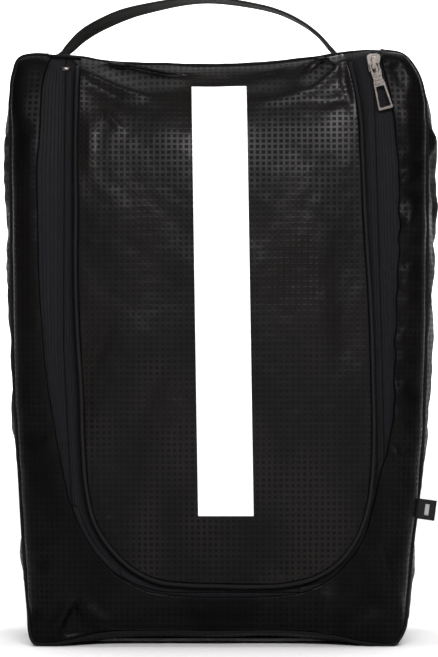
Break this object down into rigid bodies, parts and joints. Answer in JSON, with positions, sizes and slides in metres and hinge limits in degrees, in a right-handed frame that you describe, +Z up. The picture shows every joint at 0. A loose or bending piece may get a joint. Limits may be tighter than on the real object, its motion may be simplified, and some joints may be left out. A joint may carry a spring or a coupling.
{
  "type": "golf shoe bag",
  "caption": "Upright soft bag for a pair of golf shoes, with a U-shaped zip in its front, a flap that hinges at the top, and a webbing carry handle.",
  "frame": {"origin": "centre of the base, on the surface that the bag stands on", "axes": "+X to the right seen from the front, -Y out of the front face with the zip and flap, +Z up"},
  "size_m": [0.2442, 0.1228, 0.3761],
  "materials": {
    "ripstop_black": "matt woven ripstop with a soft sheen",
    "lining_black": "matt coated back of the fabric",
    "binding_tape": "matt grosgrain",
    "piping_black": "matt woven over cord",
    "zip_tape_black": "matt fine twill",
    "webbing_black": "matt ribbed webbing",
    "print_white": "satin transfer film",
    "label_black": "woven satin tape",
    "label_grey": "woven thread",
    "coil_black": "satin nylon",
    "zip_metal": "polished dark nickel",
    "board_grey": "matt board"
  },
  "bodies": {
    "bag_body": {"back_panel": "ripstop_black", "back_seam_binding": "binding_tape", "back_seam_piping": "piping_black", "base_board": "board_grey", "base_panel": "ripstop_black", "flap_hinge_piping": "piping_black", "front_seam_binding": "binding_tape", "front_seam_piping": "piping_black", "front_surround": "ripstop_black", "handle_end_left": "webbing_black", "handle_end_right": "webbing_black", "side_gusset_left": "ripstop_black", "side_gusset_right": "ripstop_black", "side_label": "label_black", "side_label_mark": "label_grey", "top_panel": "ripstop_black", "zip_coil_body_side": "coil_black", "zip_end_stop_left": "zip_metal", "zip_end_stop_right": "zip_metal", "zip_tape_body_side": "zip_tape_black"},
    "flap": {"flap_panel": "ripstop_black", "flap_lining": "lining_black", "flap_piping": "piping_black", "flap_print": "print_white", "zip_tape_flap_side": "zip_tape_black", "zip_coil_flap_side": "coil_black"},
    "slider": {"zip_slider": "zip_metal", "zip_slider_bridge": "zip_metal"},
    "pull": {"zip_pull": "zip_metal"},
    "handle": {"handle_strap": "webbing_black"}
  },
  "joints": [
    {"name": "flap_hinge", "type": "hinge", "parent": "bag_body", "child": "flap", "pos_m": [0, -0.042, 0.34], "axis": [-1, 0, 0], "range_deg": [0, 165]},
    {"name": "slider_travel", "type": "slide", "parent": "flap", "child": "slider", "axis": [0.0282, 0, -0.9996], "range_m": [0, 0.2]},
    {"name": "pull_swing", "type": "hinge", "parent": "slider", "child": "pull", "pos_m": [0.08781, -0.0609, 0.3316], "axis": [-0.9659, 0, -0.2588], "range_deg": [0, 120]},
    {"name": "handle_fold", "type": "hinge", "parent": "bag_body", "child": "handle", "pos_m": [-0.011, 0.002, 0.352], "axis": [1, 0, 0], "range_deg": [-80, 80]}
  ]
}
